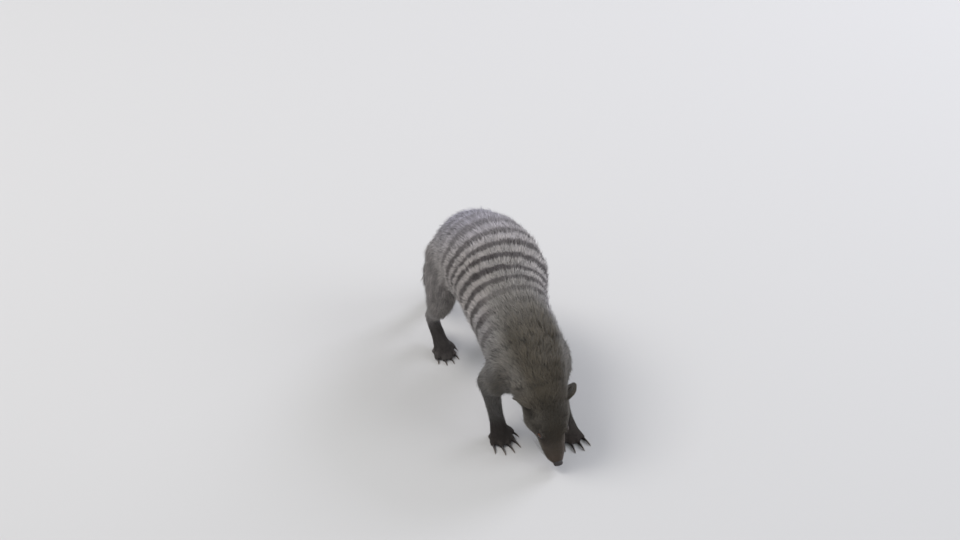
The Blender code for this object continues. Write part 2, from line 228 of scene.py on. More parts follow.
# How far ahead of the hips a foot stands, the body's middle there and how far out of it, then the
# foot's width, the claws' length and half their depth, and the toes' radius.
FORE_FOOT = (178, SHOULDER_SIDE, 33, 25, 13, 1.75, 3.5)
HIND_FOOT = (31, HIP_SIDE, 39.5, 22, 8, 1.45, 3.3)


class Foot:
    """One foot, set a step, in millimetres, ahead of its plain stance, and its toes."""

    def __init__(self, name, side, step):
        self.name, self.side, self.step = name, side, step
        self.fore = name.startswith("fore")
        figures = FORE_FOOT if self.fore else HIND_FOOT
        ahead, middle, out, self.spread, self.claw, self.claw_depth, self.toe = figures
        self.centre = at(ahead + step, middle + out * side, 0)

    def digits(self):
        """Root, heading and length of each digit; the last is the short inner one."""
        outward = LEFT * self.side
        for k in range(4):
            off = (k - 1.5) / 1.5
            root = self.centre + outward * off * (self.spread / 2 - self.toe) * MM
            root += (FORWARD * -abs(off) * 3 + UP * (self.toe - 1.4)) * MM
            yield root, (FORWARD + outward * off * 0.24).normalized(), TOE_REACH - 3.5 * off * off
        inner = self.centre - outward * (self.spread / 2 - 1) * MM
        inner += (UP * self.toe - FORWARD * 12) * MM
        yield inner, (FORWARD - outward * 0.45).normalized(), TOE_REACH / 2


FEET = (
    Foot("fore_paw_left", 1, 20),
    Foot("fore_paw_right", -1, -3),
    Foot("hind_paw_left", 1, 10),
    Foot("hind_paw_right", -1, -10),
)
SWELL = 0.4  # closes the fine cuts between the flesh parts


def flesh_copy(node):
    """A merged copy of one flesh part, a little swollen, with a paw's claws pushed back in."""
    made = linked(node + "_flesh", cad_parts[node].data.copy())
    in_edit_mode(made, bpy.ops.mesh.remove_doubles, threshold=1e-6)
    for foot in (foot for foot in FEET if foot.name == node):
        table = places(made)
        nearest = np.full(len(table), np.inf)
        moved = table.copy()
        for root, heading, length in foot.digits():
            away = table - root
            along = away @ heading
            off = np.linalg.norm(away - along[:, None] * heading, axis=1)
            beyond = np.maximum(along - (length + foot.toe * 0.8) * MM, 0)
            mine = off < nearest
            moved[mine] = (table - beyond[:, None] * heading)[mine]
            nearest = np.minimum(nearest, off)
        set_places(made, moved)
    return modified(made, "DISPLACE", strength=SWELL * MM, mid_level=0)


flesh_parts = [flesh_copy(node) for node in FLESH if not node.startswith("ear")]
for side in ("left", "right"):
    low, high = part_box("eye_" + side)
    flesh_parts.append(ball((low + high) / 2, [(high - low).length / sqrt(3) / 2 / MM] * 3))
hide = melted(flesh_parts, 1.6, 6)

# Which flesh part lies nearest to a place, found from the parts as they are in the solid model.
part_faces, part_corners, part_names = [], [], []
for node in FLESH:
    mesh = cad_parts[node].data
    first = len(part_corners)
    part_corners += [vertex.co for vertex in mesh.vertices]
    part_faces += [[first + v for v in face.vertices] for face in mesh.polygons]
    part_names += [node.removesuffix("_left").removesuffix("_right")] * len(mesh.polygons)
flesh_tree = BVHTree.FromPolygons(part_corners, part_faces)
part_names = np.array(part_names)
OLIVE_RUN = (95, 189)  # ahead of the hips, where the trunk goes olive
EVENING = 90  # how often neighbours share out their figures


def kinds_at(table):
    """The part nearest to each place, without its side."""
    return part_names[[flesh_tree.find_nearest(row)[2] for row in table]]


def head_place(table):
    """Each place as millimetres along, to the left of, and above the skull's back."""
    away = (table - SKULL_BACK) / MM
    return away @ HEAD_AXIS, away @ LEFT, away @ HEAD_TOP


def ahead_of_hips(table):
    """How many millimetres ahead of the hips each place is."""
    return (table - HIPS) @ FORWARD / MM


def coat_figures(obj):
    """Depth, length, dark and olive at each vertex, with no step from part to part."""
    table = places(obj)
    kinds = kinds_at(table)
    figures = np.array([COAT[kind] for kind in kinds])
    forward = ahead_of_hips(table)
    trunk = np.isin(kinds, ("loin", "chest"))
    least, most = COAT["loin"][3], COAT["neck"][3]
    figures[trunk, 3] = least + (most - least) * ramp(forward, *OLIVE_RUN)[trunk]
    along, _, _ = head_place(table)
    nape = (kinds == "head")[:, None] * (1 - ramp(along, -4, 30))[:, None]
    figures -= (figures - COAT["neck"]) * nape
    figures = evened(obj, figures, EVENING)
    toward_nose = ramp(along, 20, 66)
    figures[:, :2] *= 1 - np.outer(toward_nose, (0.72, 0.62))
    figures[:, 2] += 0.22 * ramp(along, 48, 72)
    return figures


figures = coat_figures(hide)
set_places(hide, places(hide) - normals(hide) * figures[:, :1] * MM)
modified(hide, "SMOOTH", factor=0.5, iterations=3)

raised = [hide]
for foot in FEET:
    for root, heading, length in foot.digits():
        turn = heading.to_track_quat("Y", "Z").to_matrix().to_4x4()
        toe = foot.toe
        raised += [
            ball(root + heading * length * 0.35 * MM + UP * 0.9 * MM,
                 (toe * 0.84, length * 0.62 + 1, toe * 0.84), turn),
            ball(root + heading * length * 0.9 * MM - UP * 0.2 * MM,
                 (toe * 0.86, toe * 1.05, toe * 0.78), turn),
            ball(root + heading * (length * 0.62) * MM - UP * (toe - 2.4) * MM,
                 (toe * 0.72, toe * 1.1, 1.4), turn)]
    for across, back, radius in ((-0.24, -9, 5.2), (0.24, -9, 5.2), (0, -13, 5.5)):
        spot = foot.centre + (LEFT * across * foot.spread + FORWARD * back + UP * 1.7) * MM
        raised.append(ball(spot, (radius, radius, 2)))
# Whisker pads and brows, chin and the end of the muzzle: the place in the head, and the radii.
FACE_FORMS = (
    ((62.5, -4.6, -3.6), (5, 8.5, 5.2)), ((30, -11.5, 8), (6.5, 11, 4.8)),
    ((62.5, 4.6, -3.6), (5, 8.5, 5.2)), ((30, 11.5, 8), (6.5, 11, 4.8)),
    ((58, 0, -9.8), (5.2, 10.5, 3.8)), ((67.6, 0, -1), (6.5, 7.7, 6.1)))
raised += [ball(in_head(*place), radii, HEAD_TURN) for place, radii in FACE_FORMS]
hide = melted(raised, 1.45, 2)


def refine(obj, chosen):
    """Divides the faces whose middles are chosen into four."""
    picked = chosen(read(obj.data.polygons, "center", 3))
    bpy.context.tool_settings.mesh_select_mode = (False, False, True)
    in_edit_mode(obj, bpy.ops.mesh.select_all, action="DESELECT")
    obj.data.polygons.foreach_set("select", picked)
    bpy.ops.object.mode_set(mode="EDIT")
    bpy.ops.mesh.subdivide(number_cuts=1)
    bpy.ops.object.mode_set(mode="OBJECT")


class Eye:
    """Where one eye sits, where it looks, and the almond opening between its lids."""

    WIDE, HIGH, LOW = 4.3, 2.6, 2.2  # half the opening's width, and its height up and down

    def __init__(self, side):
        self.name = "eye_left" if side > 0 else "eye_right"
        low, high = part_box(self.name)
        self.centre = (low + high) / 2
        self.radius = (high.z - low.z) / 2 / MM
        self.gaze = (LEFT * side * 0.84 + HEAD_AXIS * 0.36 + HEAD_TOP * 0.34).normalized()
        slant = HEAD_AXIS - HEAD_TOP * 0.22
        self.inner = (slant - self.gaze * slant.dot(self.gaze)).normalized()
        self.over = self.gaze.cross(self.inner) * side
        if self.over.dot(HEAD_TOP) < 0:
            self.over = -self.over

    def sight(self, table):
        """Direction and distance of each place, and how far across and up the ball it lies."""
        away = (table - self.centre) / MM
        distance = np.linalg.norm(away, axis=1)
        ray = away / distance[:, None]
        turn = np.arccos(np.clip(ray @ self.gaze, -1, 1)) * self.radius
        across, up = ray @ self.inner, ray @ self.over
        flat = np.maximum(np.hypot(across, up), 1e-9)
        return ray, distance, across / flat * turn, up / flat * turn

    def outside(self, across, up):
        """Millimetres from the opening's edge, less than nothing inside it."""
        arch = np.maximum(1 - (across / self.WIDE) ** 2, 0)
        edge = np.where(up > 0, self.HIGH * arch ** 0.75, self.LOW * arch ** 0.9)
        beside = np.hypot(np.maximum(np.abs(across) - self.WIDE, 0), up)
        return np.where(np.abs(across) < self.WIDE, np.abs(up) - edge, beside)


EYES = (Eye(1), Eye(-1))
LID = 0.3  # how far a lid stands over the eyeball
RIM_STEPS, RIM_RADIUS, RIM_LIFT = 72, 0.4, 0.28  # the roll of skin along the lids
MOUTH_DEPTH = 0.9
SOLE = 0.06  # where the pads rest, over the ground
for reach in (10, 8):
    refine(hide, lambda table: np.any(
        [np.linalg.norm(table - eye.centre, axis=1) < reach * MM for eye in EYES], axis=0))


def muzzle(table):
    """The faces round the mouth."""
    along, side, above = head_place(table)
    return (along > 44) & (above < 3)


refine(hide, muzzle)

# Lids are drawn over each eyeball, and the mouth is a crease along the muzzle.
table = places(hide)
lid_edge, eye_near = np.zeros(len(table)), np.zeros(len(table))
for eye in EYES:
    ray, distance, across, up = eye.sight(table)
    outside = eye.outside(across, up)
    near = (distance < 13) & (outside < 8)
    fold = hump(outside - 1.9, 0.45) * (up > 0) * (1 - ramp(np.abs(across), 2.5, 4.5))
    margin = LID + 0.12 * hump(outside, 0.7) - 0.3 * fold
    away = ramp(outside, 0.9, 5)
    drawn = (eye.radius + margin) * (1 - away) + np.maximum(distance, eye.radius + LID) * away
    reach = np.where(outside < 0, eye.radius - 1.3, drawn)
    table[near] = (ray * reach[:, None] * MM + eye.centre)[near]
    lid_edge = np.maximum(lid_edge, near * (1 - ramp(outside, 0.45, 1.1)))
    eye_near = np.maximum(eye_near, near * (1 - ramp(outside, 1.5, 7)))

along, side, above = head_place(table)
mouth = -7.4 - 0.09 * (66 - along) + 1.3 * ramp(along, 58, 68)
crease = hump(above - mouth, 0.55) * ramp(along, 42, 47) * (1 - ramp(along, 70, 73))
crease *= ramp(np.abs(side), 1.5, 4) + 0.6 * ramp(along, 64, 68)
table -= normals(hide) * (crease * MOUTH_DEPTH)[:, None] * MM
set_places(hide, table, SOLE)
lips = ramp(crease, 0.35, 0.8)


def lid_rim(eye):
    """The wet dark rim of one eye's lids, a thin roll of skin that follows the opening."""
    turn = np.arange(RIM_STEPS) / RIM_STEPS * 2 * pi
    across = eye.WIDE * np.cos(turn)
    rise = np.abs(np.sin(turn))
    up = np.where(turn < pi, eye.HIGH * rise ** 1.5, -eye.LOW * rise ** 1.8)
    arc = np.maximum(np.hypot(across, up), 1e-9)
    sideways = np.outer(across / arc, eye.inner) + np.outer(up / arc, eye.over)
    ray = np.outer(np.cos(arc / eye.radius), eye.gaze) + sideways * np.sin(arc / eye.radius)[:, None]
    run = ray * (eye.radius + RIM_LIFT) * MM + eye.centre
    curve = bpy.data.curves.new(eye.name + "_rim", "CURVE")
    curve.dimensions = "3D"
    curve.bevel_depth, curve.bevel_resolution = RIM_RADIUS * MM, 3
    spline = curve.splines.new("POLY")
    spline.points.add(RIM_STEPS - 1)
    spline.points.foreach_set("co", np.column_stack((run, np.ones(RIM_STEPS))).ravel())
    spline.use_cyclic_u = True
    only(linked(eye.name + "_rim", curve))
    bpy.ops.object.convert(target="MESH")
    return bpy.context.object


before_rims = len(hide.data.vertices)
hide = join([hide, *(lid_rim(eye) for eye in EYES)], "hide")
before_ears = len(hide.data.vertices)

# ---- ears
# Low, wide, rounded flaps swept back along the cheeks, with a rolled rim and two ridges of gristle
# inside the cup. They grow out of the hide and are part of it.

EAR_REACH = 11.3  # from the middle to the rim
EAR_MIDDLE = (7, 24.2, 3.5)  # in the head
EAR_THICK = 1.1
EAR_LEAN, EAR_SWEEP = radians(-14), radians(40)


def carry(obj, **figures):
    """Stores numbers on the vertices for the materials to read."""
    for name, values in figures.items():
        layer = obj.data.attributes.new(name, "FLOAT", "POINT")
        layer.data.foreach_set("value", np.ascontiguousarray(values, np.float32))


def ear_turn(side):
    """How an ear is set: swept back along the cheek and leaning out."""
    lean = Matrix.Rotation(side * EAR_LEAN, 4, HEAD_AXIS)
    return lean @ Matrix.Rotation(side * EAR_SWEEP, 4, HEAD_TOP)


def ear(side):
    """One ear, shaped from a flat grid pulled into a round and cupped."""
    bpy.ops.mesh.primitive_grid_add(x_subdivisions=24, y_subdivisions=24, size=2)
    made = bpy.context.object
    u, v, _ = places(made).T
    x = u * np.sqrt(1 - v * v / 2)
    z = v * np.sqrt(1 - u * u / 2)
    out = np.hypot(x, z)
    outward = x * side
    cup = 2.6 * (1 - out ** 2)
    rim = 1.3 * ramp(out, 0.72, 1) * ramp(-outward, -0.9, 0.2)
    upper_ridge = hump(z - 0.28 - 0.25 * outward, 0.09)
    upper_ridge *= ramp(0.62 - np.abs(outward + 0.1), 0, 0.3)
    lower_ridge = hump(z + 0.12 - 0.2 * outward, 0.1)
    lower_ridge *= ramp(0.5 - np.abs(outward + 0.15), 0, 0.3)
    y = cup - rim - 1.5 * upper_ridge - 1.2 * lower_ridge
    wave = 0.35 * np.sin(3 * np.arctan2(z, outward)) * ramp(out, 0.6, 1)
    set_places(made, np.stack((x * EAR_REACH, y + wave, z * EAR_REACH), 1) * MM)
    carry(made, hollow=ramp(0.7 - out, 0, 0.25))
    modified(made, "SOLIDIFY", thickness=EAR_THICK * MM, offset=1)
    turn_faces_out(made)
    modified(made, "SUBSURF", levels=1, render_levels=1)
    along, beside, above = EAR_MIDDLE
    middle = Matrix.Translation(in_head(along, side * beside, above))
    made.data.transform(middle @ ear_turn(side) @ HEAD_TURN)
    return made


hide = join([hide, ear(1), ear(-1)], "hide")
of_ear = np.arange(len(hide.data.vertices)) >= before_ears
in_edit_mode(hide, bpy.ops.uv.smart_project, angle_limit=radians(66), island_margin=0.002)
hide.data.uv_layers[0].name = "OFBake"

# ---- the lie of the coat
# The hair runs from the nose back over the body to the tip of the tail, and down each leg to the
# toes. Lines through the middle of the body and the legs say which way that is at any place.


class Line:
    """A smooth line through the flesh, from (place, radius in millimetres) stations."""

    STEPS = 8

    def __init__(self, stations):
        knots = np.array([(*place, radius * MM) for place, radius in stations])
        knots = np.vstack((2 * knots[0] - knots[1], knots, 2 * knots[-1] - knots[-2]))
        t = np.arange(self.STEPS)[:, None] / self.STEPS
        run = []
        for a, b, c, d in zip(knots, knots[1:], knots[2:], knots[3:]):
            run.append((b * 2 + (c - a) * t + (a * 2 - b * 5 + c * 4 - d) * t ** 2
                        + (b * 3 - a - c * 3 + d) * t ** 3) / 2)
        run = np.vstack((*run, knots[-2:-1]))
        self.middle, self.radius = run[:, :3], run[:, 3]
        self.along = unit(np.gradient(self.middle, axis=0))
        steps = np.linalg.norm(np.diff(self.middle, axis=0), axis=1)
        self.walked = np.concatenate(((0,), np.cumsum(steps)))

    def nearest(self, table):
        """For each place: the nearest station, how many radii off it lies, and the way from it."""
        best = np.full(len(table), np.inf)
        index = np.zeros(len(table), int)
        for k, middle in enumerate(self.middle):
            off = np.sum((table - middle) ** 2, axis=1)
            closer = off < best
            best[closer], index[closer] = off[closer], k
        away = table - self.middle[index]
        return index, np.sqrt(best) / self.radius[index], away


SPINE = Line([
    (in_head(78, 0, 0), 6), (in_head(60, 0, -3), 11), (in_head(34, 0, -2), 19),
    (in_head(8, 0, -1), 25), (at(184, -3, 79), 32), (at(160, -3, 91), 40), (at(128, -4, 103), 41),
    (at(96, -1, 112.5), 43), (at(65, 6, 118), 47), (at(32, 6, 119), 47), (at(4, 4, 112), 44),
    (at(-14, 2, 107), 36), (at(-28, 2, 103), 24), (at(-46, -3, 95), 14.5), (at(-55, -11, 77), 12.5),
    (at(-57, -18, 54), 11.5), (at(-60, -17, 33), 10.5), (at(-72, -5, 14.5), 9.5),
    (at(-88, 18, 8.6), 8.8), (at(-100, 46, 7.4), 8), (at(-103, 76, 6), 6.5), (at(-95, 104, 4), 4),
])


def leg_line(foot):
    """The line down one leg to the tips of its toes."""
    step, side = foot.step, foot.side
    toes = foot.centre + (FORWARD * 12 + UP * 3) * MM
    if foot.fore:
        return Line([
            (at(166, SHOULDER_SIDE + side * 27, 82), 22),
            (at(144 + step * 0.4, SHOULDER_SIDE + side * 34, 53), 13),
            (at(160 + step, SHOULDER_SIDE + side * 32, 19), 9),
            (at(172 + step, SHOULDER_SIDE + side * 33, 6.4), 9), (toes, 8),
        ])
    return Line([
        (at(2, HIP_SIDE + side * 30, 104), 26),
        (at(28 + step * 0.3, HIP_SIDE + side * 44, 78), 17),
        (at(-6 + step, HIP_SIDE + side * 39, 25), 9),
        (at(24 + step, HIP_SIDE + side * 39, 5.2), 8), (toes, 7),
    ])


LINES = [SPINE, *(leg_line(foot) for foot in FEET)]
TRUNK = (-30, 190)  # ahead of the hips, where the hair also hangs down a little
HANG = 0.28


def lie_of(table):
    """The way the hair runs at each place, before it is laid on the hide."""
    lie, total = np.zeros((len(table), 3)), np.zeros(len(table))
    for line in LINES:
        index, radii, _ = line.nearest(table)
        weight = np.maximum(radii, 0.05) ** -6
        lie += line.along[index] * weight[:, None]
        total += weight
    lie /= total[:, None]
    forward = ahead_of_hips(table)
    hang = HANG * ramp(forward, TRUNK[0], TRUNK[0] + 30)
    lie[:, 2] -= hang * (1 - ramp(forward, TRUNK[1] - 30, TRUNK[1]))
    return lie


def laid(directions, out):
    """Directions turned into the surface whose normals are given."""
    return unit(directions - out * np.sum(directions * out, axis=1, keepdims=True))


# Where each dark band crosses the back, in millimetres ahead of the hips, and how strong the bands
# are at such places, down the middle of the back and down the flanks.
BANDS = (-26, -12, 2, 16, 30, 45, 61, 76, 89.5, 101, 113, 126, 139, 152)
BACK_CONTRAST = (
    (-27, 0), (-12, 0.2), (16, 0.35), (30, 0.5), (45, 0.68), (61, 0.85), (76, 1), (90, 1), (101, 0.8),
    (113, 0.5), (126, 0.2), (139, 0))
FLANK_CONTRAST = ((-27, 0), (13, 0.2), (27, 0.6), (41, 0.95), (124, 0.95), (138, 0.6), (158, 0))


def markings(table):
    """By name: band number, the bands' strength, how far each place is belly grey or lilac grey, and
    how much more olive it is than its part, as the ridge is browner. The lilac grey paints a cool sky
    reflection over the top of the rump. On the sides of the shoulders, which are paler and less
    olive, it is partly a greyer coat and partly a painted highlight of light grazing the flanks."""
    index, radii, away = SPINE.nearest(table)
    along = SPINE.along[index]
    middle = SPINE.middle[index]
    over = unit(np.array(UP) - along * along[:, 2:])
    beyond = np.sum(away * along, axis=1, keepdims=True)
    station = ahead_of_hips(middle + along * beyond)
    around = unit(away - along * beyond)
    turn = np.degrees(np.arccos(np.clip(np.sum(around * over, axis=1), -1, 1)))
    band = np.interp(station, BANDS, np.arange(len(BANDS)))
    back, flank = (np.interp(station, *zip(*run)) for run in (BACK_CONTRAST, FLANK_CONTRAST))
    share = ramp(turn, 28, 70)
    contrast = back * (1 - share) + flank * share
    contrast *= 1 - ramp(turn, 95, 135)
    # Over the top of the rump the coat goes lilac grey: a painted reflection of cool sky light.
    lilac = (1 - ramp(turn, 15, 95)) * (1 - ramp(station, -5, 75)) * ramp(station, -60, -30)
    lilac *= radii < 1.6
    ridge = 0.38 * (1 - ramp(turn, 10, 50)) * ramp(station, 35, 75)
    ridge *= 1 - 0.8 * ramp(station, 100, 135)
    # Paler, less olive sides on the shoulders: partly a greyer coat, partly a painted highlight of light
    # grazing the flanks.
    paler_sides_and_sheen = ramp(turn, 28, 64) * ramp(station, 95, 138) * (1 - ramp(station, 178, 206))
    paler_sides_and_sheen *= 1 - ramp(radii, 1, 1.35)
    return {"band": band, "contrast": contrast, "belly": ramp(turn, 105, 150) * ramp(station, -30, 20),
            "lilac": lilac + 0.4 * paler_sides_and_sheen, "olive": ridge - 0.3 * paler_sides_and_sheen}


# ---- colours of hide and coat
# Coarse hair ringed light and dark, which reads as grizzled grey: grey over the rump with a painted
# lilac reflection of cool sky light on its top, olive brown over neck and shoulders, darkened partly
# as painted shade on the nape, nearly black on the feet and the end of the tail. The shoulders'
# sides are paler, partly as a painted highlight. A dozen dark bands cross the back. Hide and coat
# read the same figures, so they carry the same markings.


class Share:
    """A socket that holds numbers; arithmetic on it adds Math nodes."""

    def __init__(self, finish, socket):
        self.finish, self.socket = finish, socket

    def maths(self, operation, *others):
        return self.finish.share("Math", {"operation": operation}, dict(enumerate(others)))

    def __add__(self, other):
        return self.maths("ADD", self, other)

    def __sub__(self, other):
        return self.maths("SUBTRACT", self, other)

    def __rsub__(self, other):
        return self.maths("SUBTRACT", other, self)

    def __mul__(self, other):
        return self.maths("MULTIPLY", self, other)

    __radd__, __rmul__ = __add__, __mul__

    def between(self, low, high):
        """0 up to low and 1 from high on, easing in between."""
        return self.finish.share("MapRange", {"interpolation_type": "SMOOTHSTEP"}, {
            "Value": self, "From Min": low, "From Max": high})


class Finish:
    """A material in the making; an underscore in a socket's name stands for a space."""

    def __init__(self, name, **same_all_over):
        self.material = bpy.data.materials.new(name)
        self.material.use_nodes = True
        self.tree = self.material.node_tree
        self.shader = self.tree.nodes["Principled BSDF"]
        for socket, value in same_all_over.items():
            self.shader.inputs[socket.replace("_", " ")].default_value = value

    def fill(self, socket, value):
        """Puts a number, a colour or a link on a socket."""
        if isinstance(value, Share):
            value = value.socket
        if isinstance(value, bpy.types.NodeSocket):
            self.tree.links.new(value, socket)
        elif socket.type == "RGBA":
            socket.default_value = (*value, 1)
        else:
            socket.default_value = value

    def node(self, kind, settings, inputs):
        """Adds a node with its settings and what its sockets hold, and gives its outputs."""
        made = self.tree.nodes.new("ShaderNode" + kind)
        for key, value in settings.items():
            setattr(made, key, value)
        for key, value in inputs.items():
            self.fill(made.inputs[key], value)
        return made.outputs

    def share(self, kind, settings, inputs):
        """The number that such a node gives."""
        return Share(self, self.node(kind, settings, inputs)[0])

    def figure(self, name):
        """The number that the mesh carries under this name."""
        return Share(self, self.node("Attribute", {"attribute_name": name}, {})["Fac"])

    def mix(self, share, first, second):
        """The first colour, going over to the second with the share."""
        return self.node("Mix", {"data_type": "RGBA"}, {0: share, 6: first, 7: second})[2]

    def own_space(self):
        """Places in the object's own space."""
        return self.node("TexCoord", {}, {})["Object"]

    def noise(self, scale, detail=2, vector=None):
        """Soft noise about 0.5, in the object's own space unless a vector is given."""
        return self.share("TexNoise", {}, {
            "Vector": vector or self.own_space(), "Scale": scale, "Detail": detail})

    def bump(self, strength, depth, height):
        """Fine relief, its depth in millimetres."""
        figures = {"Strength": strength, "Distance": depth * MM, "Height": height}
        return self.node("Bump", {}, figures)[0]

    def scaled(self, colour, share):
        """A colour made lighter or darker by a number."""
        return self.node("VectorMath", {"operation": "SCALE"}, {0: colour, "Scale": share})[0]

    def show(self, **sockets):
        """Links what varies over the surface to the shader."""
        for socket, value in sockets.items():
            self.fill(self.shader.inputs[socket.replace("_", " ")], value)
        return self.material


# The lilac grey is grey with a painted reflection of cool sky light in it.
GREY_WITH_SKY_SHEEN = (0.57, 0.545, 0.64)
WARM_GREY = (0.59, 0.545, 0.52)
SHOULDER_GREY = (0.35, 0.33, 0.305)
# The olive brown is darkened partly as painted shade, where the nape turns down and away from the light.
OLIVE_BROWN_AND_SHADE = (0.115, 0.096, 0.067)
BAND_BROWN = (0.082, 0.066, 0.063)
RUSTY_BROWN = (0.16, 0.095, 0.06)
CHIN_GREY = (0.34, 0.31, 0.27)
FOOT_BROWN = (0.06, 0.045, 0.038)
BELLY_GREY = (0.28, 0.25, 0.23)
BARE_SKIN = (0.03, 0.024, 0.024)


def coat_finish(name, of_hide):
    """The coat's colours, for the hide beneath it or for the locks."""
    finish = Finish(name, Specular_IOR_Level=0.25, Sheen_Weight=0.15, Sheen_Roughness=0.5)
    figure, noise = finish.figure, finish.noise
    waved = (figure("band") + (noise(90) - 0.5) * 0.35) * (2 * pi)
    stripe = waved.maths("COSINE", waved).between(-0.35, 0.6) * figure("contrast")
    patch = noise(16)
    olive = figure("olive") + (patch - 0.5) * 0.5
    colour = WARM_GREY
    for share, second in (
            # Lilac grey: a painted cool sky reflection, and on the shoulders' sides partly a painted
            # highlight.
            (figure("lilac"), GREY_WITH_SKY_SHEEN), (figure("belly"), BELLY_GREY),
            # Olive brown: the coat's own colour, darkened partly as painted shade on the nape.
            (olive.between(0.05, 0.85), SHOULDER_GREY), (olive.between(0.66, 1.2), OLIVE_BROWN_AND_SHADE),
            (stripe, BAND_BROWN), (figure("rust") * (0.25 + 0.6 * patch), RUSTY_BROWN),
            (figure("chin") * 0.75, CHIN_GREY), (figure("dark"), FOOT_BROWN)):
        colour = finish.mix(share, colour, second)
    colour = finish.scaled(colour, 0.68 + 0.64 * noise(70, 4))
    if of_hide:
        bare = figure("bare")
        colour = finish.mix(bare, finish.scaled(colour, 0.5 + 0.35 * noise(900, 3)), BARE_SKIN)
        relief = finish.bump(0.35, 0.6, noise(1400, 3))
        return finish.show(Base_Color=colour, Normal=relief, Roughness=0.75 - 0.35 * bare)
    shade, tip = figure("shade"), figure("tip")
    ring = tip.between(0.35, 0.6) * (1 - tip.between(0.78, 0.95) * 0.6)
    lightness = (0.53 + 0.53 * shade) * (0.5 + 0.65 * ring)
    return finish.show(Base_Color=finish.scaled(colour, lightness), Roughness=0.5 + 0.25 * shade)


def clad(obj, material):
    """Gives a piece its material and smooth shading."""
    obj.data.shade_smooth()
    obj.data.materials.append(material)


def colour_figures(table, figures):
    """What both materials read, at any places with their coat figures."""
    found = markings(table)
    along, _, above = head_place(table)
    found["dark"] = figures[:, 2]
    found["olive"] += figures[:, 3]
    found["rust"] = ramp(along, 26, 70) * ramp(above, -10, 0) * (1 - 0.6 * ramp(above, 2, 9))
    found["chin"] = ramp(along, 20, 45) * ramp(-above, 7.5, 10.5)
    return found


THIN_LIDS = (0.3, 0.45)  # how much thinner and shorter the coat is beside an eye
hide_places, hide_normals = places(hide), normals(hide)
hide_figures = coat_figures(hide)
hide_figures[of_ear] = COAT["ear"]
hide_lie = laid(lie_of(hide_places), hide_normals)
hide_lie = laid(evened(hide, hide_lie, 12), hide_normals)
joined_on = np.zeros(len(hide_places) - before_rims)
bare, eye_near = (
    np.concatenate((values, joined_on)) for values in (np.maximum(lid_edge, lips), eye_near))
bare[before_rims:before_ears] = 1
hide_figures[:, :2] *= 1 - np.outer(eye_near, THIN_LIDS)
sole = ramp(-hide_normals[:, 2], 0.3, 0.7) * (1 - ramp(hide_places[:, 2], 3 * MM, 6 * MM))
hollow = read(hide.data.attributes["hollow"].data, "value", 1, np.float32)
for side in (-1, 1):
    opening = ear_turn(side).to_3x3() @ HEAD_AXIS
    this_side = of_ear & (np.sign(hide_places @ LEFT - SKULL_BACK.x) == side)
    hollow *= np.where(this_side, ramp(hide_normals @ opening, 0.1, 0.5), 1)
bare = np.maximum.reduce((bare, sole, hollow * 0.9))
carry(hide, **colour_figures(hide_places, hide_figures), bare=bare)
hide.data.materials.clear()
clad(hide, coat_finish("hide_under_coat", True))
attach(hide, "root")
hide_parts(*FLESH)

# ---- the coat
# Thousands of thin pointed locks of hair, each a closed curved spike rooted in the hide. They lie
# back over each other, long over rump and tail, short on face and feet.

rng = np.random.default_rng(11)
THICKEST = 0.3  # half a long lock's width
LOWEST = 0.25  # no lock's corner comes nearer the ground than this
PATCH = 0.003  # a lock's patch on the hide's unwrap
DENSITY, LONG = 2.55, 18  # locks on a square millimetre where the coat is this long
SHORT, THINNED = 9, 0.36  # under this length there are fewer locks, by this share
GUARD_HAIRS, GUARD_RISE, GUARD_REACH = 0.14, 1.32, 1.15  # the share of long locks, and how long

hide.data.calc_loop_triangles()
triangles = read(hide.data.loop_triangles, "vertices", 3, np.int32)
loops = read(hide.data.loop_triangles, "loops", 3, np.int32)
corner_uv = read(hide.data.uv_layers["OFBake"].data, "uv", 2)[loops]
corners = hide_places[triangles]
crosses = np.cross(corners[:, 1] - corners[:, 0], corners[:, 2] - corners[:, 0])
areas = np.linalg.norm(crosses, axis=1) / 2
per_mm2 = DENSITY * (LONG / hide_figures[:, 1]) ** 0.75 * (1 - ramp(bare, 0.05, 0.4))
per_mm2 *= 1 - THINNED * (1 - ramp(hide_figures[:, 1], SHORT, SHORT + 3))
per_mm2 *= 1 + 0.5 * eye_near
crowd = areas / MM ** 2 * per_mm2[triangles].mean(1)
locks = int(crowd.sum())
marks = (np.arange(locks) + rng.random(locks)) * crowd.sum() / locks
picked = np.minimum(np.searchsorted(np.cumsum(crowd), marks), len(triangles) - 1)
u, v = np.sqrt(rng.random(locks)), rng.random(locks)
mixed = np.stack((1 - u, u * (1 - v), u * v), 1)[:, :, None]


def at_roots(values):
    """Vertex values of the hide read off at each lock's root."""
    return np.sum(values[triangles[picked]] * mixed, axis=1)


root = at_roots(hide_places)
out = unit(at_roots(hide_normals))
lie = laid(at_roots(hide_lie), out)
root_figures = at_roots(hide_figures)
depth, length = root_figures[:, 0], root_figures[:, 1]
root_uv = np.clip(np.sum(corner_uv[picked] * mixed, axis=1), PATCH, 1 - PATCH)


def waves(table, size, seed):
    """Slow random swings, from -1 to 1, that neighbouring places share."""
    draw = np.random.default_rng(seed)
    total = np.zeros(len(table))
    for _ in range(5):
        way = draw.normal(size=3)
        total += np.sin(table @ way / np.linalg.norm(way) * 2 * pi / (size * MM) + draw.random() * 6.3)
    return total / 5 ** 0.5 / 1.4


hide_tree = BVHTree.FromPolygons(hide_places, triangles.tolist())


def over_hide(table, height):
    """Each place moved to stand this high, in metres, over the hide where it lies nearest."""
    spots, _, found, _ = zip(*map(hide_tree.find_nearest, table))
    up = unit(np.sum(hide_normals[triangles[list(found)]], axis=1))
    return np.array(spots) + up * height[:, None]


